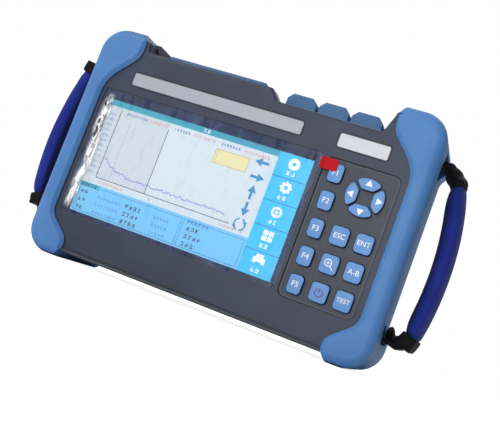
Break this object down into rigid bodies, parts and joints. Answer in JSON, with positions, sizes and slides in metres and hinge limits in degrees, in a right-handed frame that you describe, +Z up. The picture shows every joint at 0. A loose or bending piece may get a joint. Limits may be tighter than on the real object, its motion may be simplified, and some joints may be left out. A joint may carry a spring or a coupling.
{
  "type": "optical time domain reflectometer",
  "caption": "Handheld fibre test instrument with a wide screen, side keypad, rubber end bumpers, hinged port covers, padded hand straps and a fold-out stand.",
  "frame": {"origin": "on the standing plane under the two end bumpers, midway between the ends and between the front and back faces", "axes": "+X to the right seen from the screen side, along the long side; +Y from the screen to the back; +Z up towards the ports"},
  "size_m": [0.3036, 0.0736, 0.168],
  "materials": {
    "housing": "fine-grained moulded shell, satin",
    "bumper": "soft moulded rubber, satin",
    "cover_rubber": "soft moulded rubber, satin",
    "key": "smooth moulded key caps with white legends",
    "keypad_mat": "dull black silicone",
    "seal": "dull black",
    "lens": "clear, glossy",
    "lcd": "lit display face",
    "film": "clear thin film, glossy, creased at one end",
    "pull_tab": "printed film",
    "plate": "satin silver, bare",
    "rear_label": "satin silver, bare",
    "circuit_board": "green solder mask",
    "sheet_steel": "plain sheet",
    "module_case": "plain milled case",
    "adapter": "nickel-plated",
    "socket_metal": "plated sheet",
    "socket_plastic": "black moulding",
    "battery": "shrink-wrapped cells",
    "brass": "turned",
    "screw_steel": "dark zinc plate",
    "webbing": "woven nylon strap",
    "cuff": "sewn binding",
    "sleeve": "padded neoprene-like cloth"
  },
  "bodies": {
    "housing": {"front_bezel": "housing", "rear_shell": "housing", "left_bumper": "bumper", "right_bumper": "bumper", "housing_seal": "seal", "window_lens": "lens", "lcd_panel": "lcd", "lcd_frame": "sheet_steel", "protective_film": "film", "film_pull_tab": "pull_tab", "keypad_mat": "keypad_mat", "keypad_board": "circuit_board", "name_plate": "plate", "badge_plate": "plate", "rear_label": "rear_label", "mainboard": "circuit_board", "shield_can": "sheet_steel", "optical_module": "module_case", "optical_adapters": "adapter", "ethernet_jack": "socket_metal", "usb_jacks": "socket_metal", "dc_jack": "socket_plastic", "speaker": "socket_plastic", "battery_pack": "battery", "board_standoffs": "brass", "board_screws": "screw_steel", "housing_screws": "screw_steel", "stand_hinge_pin": "screw_steel", "cover_hinge_pins": "screw_steel", "strap_pins": "screw_steel", "left_strap_webbing": "webbing", "right_strap_webbing": "webbing", "left_strap_sleeve": "sleeve", "right_strap_sleeve": "sleeve", "strap_cuffs": "cuff"},
    "key_f1": {"key_f1": "key"},
    "key_f2": {"key_f2": "key"},
    "key_f3": {"key_f3": "key"},
    "key_f4": {"key_f4": "key"},
    "key_f5": {"key_f5": "key"},
    "key_up": {"key_up": "key"},
    "key_down": {"key_down": "key"},
    "key_left": {"key_left": "key"},
    "key_right": {"key_right": "key"},
    "key_esc": {"key_esc": "key"},
    "key_enter": {"key_enter": "key"},
    "key_zoom": {"key_zoom": "key"},
    "key_ab": {"key_ab": "key"},
    "key_power": {"key_power": "key"},
    "key_test": {"key_test": "key"},
    "port_cap_1": {"port_cap_1": "cover_rubber"},
    "port_cap_2": {"port_cap_2": "cover_rubber"},
    "port_cap_3": {"port_cap_3": "cover_rubber"},
    "interface_cover": {"interface_cover": "cover_rubber"},
    "kickstand": {"kickstand": "housing", "kickstand_tip": "seal"},
    "battery_door": {"battery_door": "housing", "battery_door_screws": "screw_steel"}
  },
  "joints": [
    {"name": "key_f1_press", "type": "slide", "parent": "housing", "child": "key_f1", "axis": [0, 1, 0], "range_m": [0, 0.001], "stiffness_N_per_m": 900},
    {"name": "key_f2_press", "type": "slide", "parent": "housing", "child": "key_f2", "axis": [0, 1, 0], "range_m": [0, 0.001], "stiffness_N_per_m": 900},
    {"name": "key_f3_press", "type": "slide", "parent": "housing", "child": "key_f3", "axis": [0, 1, 0], "range_m": [0, 0.001], "stiffness_N_per_m": 900},
    {"name": "key_f4_press", "type": "slide", "parent": "housing", "child": "key_f4", "axis": [0, 1, 0], "range_m": [0, 0.001], "stiffness_N_per_m": 900},
    {"name": "key_f5_press", "type": "slide", "parent": "housing", "child": "key_f5", "axis": [0, 1, 0], "range_m": [0, 0.001], "stiffness_N_per_m": 900},
    {"name": "key_up_press", "type": "slide", "parent": "housing", "child": "key_up", "axis": [0, 1, 0], "range_m": [0, 0.001], "stiffness_N_per_m": 900},
    {"name": "key_down_press", "type": "slide", "parent": "housing", "child": "key_down", "axis": [0, 1, 0], "range_m": [0, 0.001], "stiffness_N_per_m": 900},
    {"name": "key_left_press", "type": "slide", "parent": "housing", "child": "key_left", "axis": [0, 1, 0], "range_m": [0, 0.001], "stiffness_N_per_m": 900},
    {"name": "key_right_press", "type": "slide", "parent": "housing", "child": "key_right", "axis": [0, 1, 0], "range_m": [0, 0.001], "stiffness_N_per_m": 900},
    {"name": "key_esc_press", "type": "slide", "parent": "housing", "child": "key_esc", "axis": [0, 1, 0], "range_m": [0, 0.001], "stiffness_N_per_m": 900},
    {"name": "key_enter_press", "type": "slide", "parent": "housing", "child": "key_enter", "axis": [0, 1, 0], "range_m": [0, 0.001], "stiffness_N_per_m": 900},
    {"name": "key_zoom_press", "type": "slide", "parent": "housing", "child": "key_zoom", "axis": [0, 1, 0], "range_m": [0, 0.001], "stiffness_N_per_m": 900},
    {"name": "key_ab_press", "type": "slide", "parent": "housing", "child": "key_ab", "axis": [0, 1, 0], "range_m": [0, 0.001], "stiffness_N_per_m": 900},
    {"name": "key_power_press", "type": "slide", "parent": "housing", "child": "key_power", "axis": [0, 1, 0], "range_m": [0, 0.001], "stiffness_N_per_m": 900},
    {"name": "key_test_press", "type": "slide", "parent": "housing", "child": "key_test", "axis": [0, 1, 0], "range_m": [0, 0.001], "stiffness_N_per_m": 900},
    {"name": "port_cap_1_hinge", "type": "hinge", "parent": "housing", "child": "port_cap_1", "pos_m": [0.0205, 0.02, 0.1503], "axis": [-1, 0, 0], "range_deg": [0, 100]},
    {"name": "port_cap_2_hinge", "type": "hinge", "parent": "housing", "child": "port_cap_2", "pos_m": [0.0443, 0.02, 0.1503], "axis": [-1, 0, 0], "range_deg": [0, 100]},
    {"name": "port_cap_3_hinge", "type": "hinge", "parent": "housing", "child": "port_cap_3", "pos_m": [0.0681, 0.02, 0.1503], "axis": [-1, 0, 0], "range_deg": [0, 100]},
    {"name": "interface_cover_hinge", "type": "hinge", "parent": "housing", "child": "interface_cover", "pos_m": [-0.045, 0.015, 0.1612], "axis": [-1, 0, 0], "range_deg": [0, 110]},
    {"name": "kickstand_hinge", "type": "hinge", "parent": "housing", "child": "kickstand", "pos_m": [0, 0.0311, 0.125], "axis": [1, 0, 0], "range_deg": [0, 38]},
    {"name": "battery_door_lift_off", "type": "slide", "parent": "housing", "child": "battery_door", "axis": [0, 1, 0], "range_m": [0, 0.03]}
  ]
}
